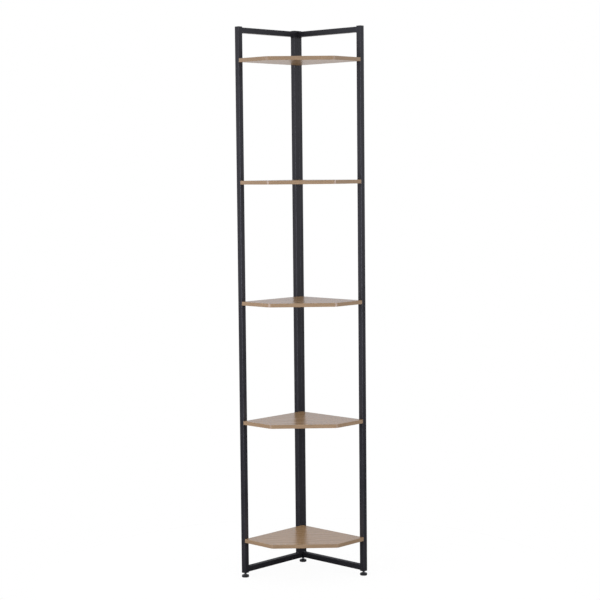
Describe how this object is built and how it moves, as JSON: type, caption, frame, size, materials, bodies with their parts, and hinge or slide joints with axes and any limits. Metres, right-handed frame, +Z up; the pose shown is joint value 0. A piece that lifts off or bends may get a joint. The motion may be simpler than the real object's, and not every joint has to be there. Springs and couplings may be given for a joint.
{
  "type": "corner shelf unit",
  "caption": "Tall corner shelf unit: two black square-tube side frames joined in an L carry pentagon oak-decor boards and stand on levelling feet.",
  "frame": {"origin": "on the floor, at the middle of the square that the foot pads span", "axes": "+Z up; the walls' corner lies towards -X and +Y; the right frame runs along +X, the left frame along -Y, and the front faces between +X and -Y"},
  "size_m": [0.306, 0.306, 1.836],
  "materials": {
    "frame_coat": "black satin powder coat",
    "oak_board": "light oak decor, semi-gloss laminate on particle board",
    "oak_band": "light oak decor edge band",
    "black_plastic": "moulded black plastic",
    "stud_steel": "grey plated steel thread",
    "zinc_steel": "bright zinc plate"
  },
  "bodies": {
    "shelf_frame": {"left_front_post": "frame_coat", "left_back_post": "frame_coat", "right_back_post": "frame_coat", "right_front_post": "frame_coat", "left_bottom_rail": "frame_coat", "left_top_rail": "frame_coat", "right_bottom_rail": "frame_coat", "right_top_rail": "frame_coat", "shelf_1_board": "oak_board", "shelf_2_board": "oak_board", "shelf_3_board": "oak_board", "shelf_4_board": "oak_board", "shelf_5_board": "oak_board", "shelf_1_band": "oak_band", "shelf_2_band": "oak_band", "shelf_3_band": "oak_band", "shelf_4_band": "oak_band", "shelf_5_band": "oak_band", "left_front_cap": "black_plastic", "left_back_cap": "black_plastic", "right_back_cap": "black_plastic", "right_front_cap": "black_plastic", "left_front_plug": "black_plastic", "left_back_plug": "black_plastic", "right_back_plug": "black_plastic", "right_front_plug": "black_plastic", "shelf_bolts": "zinc_steel", "shelf_inserts": "zinc_steel", "frame_bolts": "zinc_steel", "frame_nuts": "zinc_steel", "foot_sleeves": "zinc_steel"},
    "left_front_foot_pad": {"left_front_pad": "black_plastic"},
    "left_front_foot_stud": {"left_front_stud": "stud_steel"},
    "right_back_foot_pad": {"right_back_pad": "black_plastic"},
    "right_back_foot_stud": {"right_back_stud": "stud_steel"},
    "right_front_foot_pad": {"right_front_pad": "black_plastic"},
    "right_front_foot_stud": {"right_front_stud": "stud_steel"}
  },
  "joints": [
    {"name": "left_front_foot_lift", "type": "slide", "parent": "shelf_frame", "child": "left_front_foot_pad", "axis": [0, 0, -1], "range_m": [-0.0045, 0.01]},
    {"name": "left_front_foot_turn", "type": "hinge", "parent": "left_front_foot_pad", "child": "left_front_foot_stud", "pos_m": [-0.141, -0.141, 0], "axis": [0, 0, -1], "range_deg": [-1297, 2881]},
    {"name": "right_back_foot_lift", "type": "slide", "parent": "shelf_frame", "child": "right_back_foot_pad", "axis": [0, 0, -1], "range_m": [-0.0045, 0.01]},
    {"name": "right_back_foot_turn", "type": "hinge", "parent": "right_back_foot_pad", "child": "right_back_foot_stud", "pos_m": [-0.141, 0.141, 0], "axis": [0, 0, -1], "range_deg": [-1297, 2881]},
    {"name": "right_front_foot_lift", "type": "slide", "parent": "shelf_frame", "child": "right_front_foot_pad", "axis": [0, 0, -1], "range_m": [-0.0045, 0.01]},
    {"name": "right_front_foot_turn", "type": "hinge", "parent": "right_front_foot_pad", "child": "right_front_foot_stud", "pos_m": [0.141, 0.141, 0], "axis": [0, 0, -1], "range_deg": [-1297, 2881]}
  ],
  "couplings": [
    {"joint": "left_front_foot_turn", "follows": "left_front_foot_lift", "rad_per_m": 5026.5},
    {"joint": "right_back_foot_turn", "follows": "right_back_foot_lift", "rad_per_m": 5026.5},
    {"joint": "right_front_foot_turn", "follows": "right_front_foot_lift", "rad_per_m": 5026.5}
  ]
}
